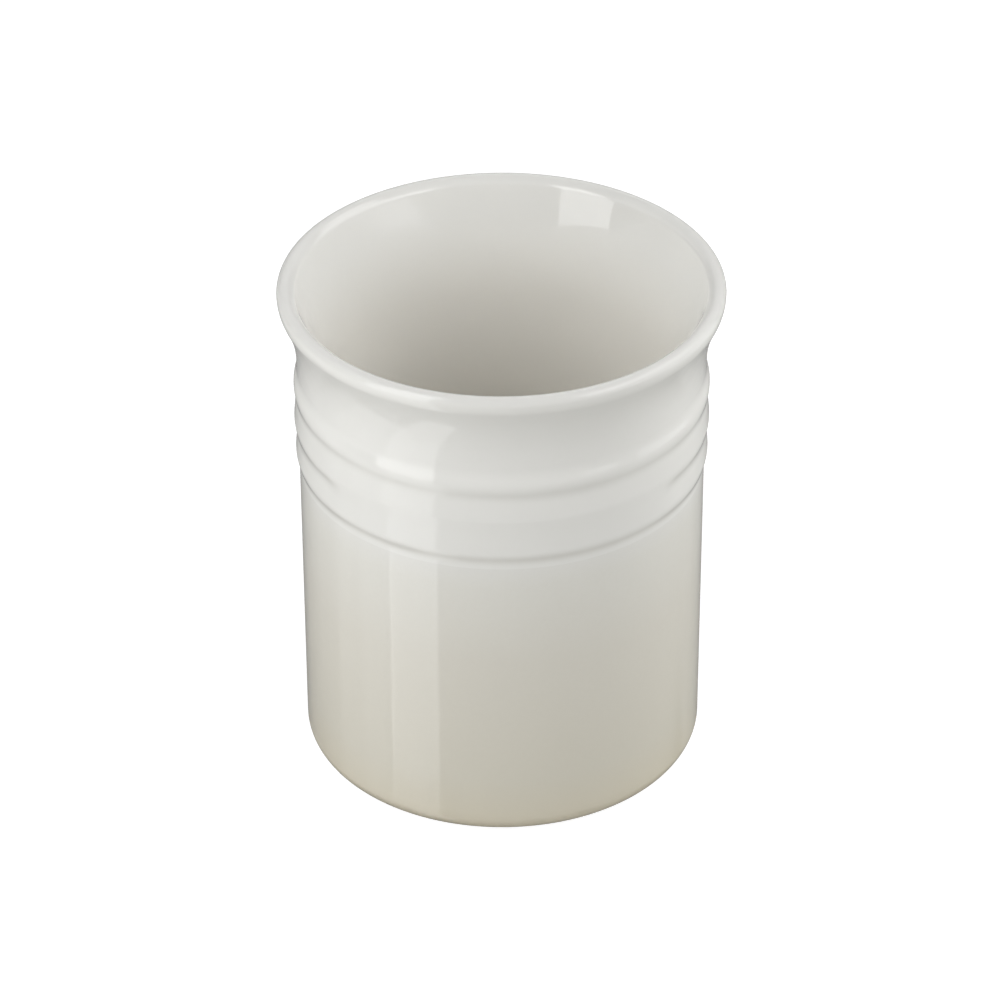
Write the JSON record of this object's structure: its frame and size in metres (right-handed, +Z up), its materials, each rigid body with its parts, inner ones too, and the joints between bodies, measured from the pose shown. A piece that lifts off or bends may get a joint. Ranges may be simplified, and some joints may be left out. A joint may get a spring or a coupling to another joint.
{
  "type": "utensil holder",
  "caption": "Round stoneware crock that stands on a worktop and holds kitchen utensils upright, with a flared lip, a ringed collar and a plain glazed wall.",
  "frame": {"origin": "middle of the face that the crock stands on, on the axis of the wheel", "axes": "+Z up along the axis of the crock, -Y towards the front, where the plaque in the ringed collar is"},
  "size_m": [0.125, 0.125, 0.15],
  "materials": {
    "bare_stoneware": "bare fired clay, matt and slightly gritty",
    "white_glaze": "glossy warm white glaze",
    "shaded_glaze": "glossy glaze that shades from white to warm beige downwards"
  },
  "bodies": {
    "root": {"stoneware_body": "bare_stoneware", "lining_glaze": "white_glaze", "collar_glaze": "white_glaze", "wall_glaze": "shaded_glaze", "base_glaze": "white_glaze"}
  },
  "joints": []
}
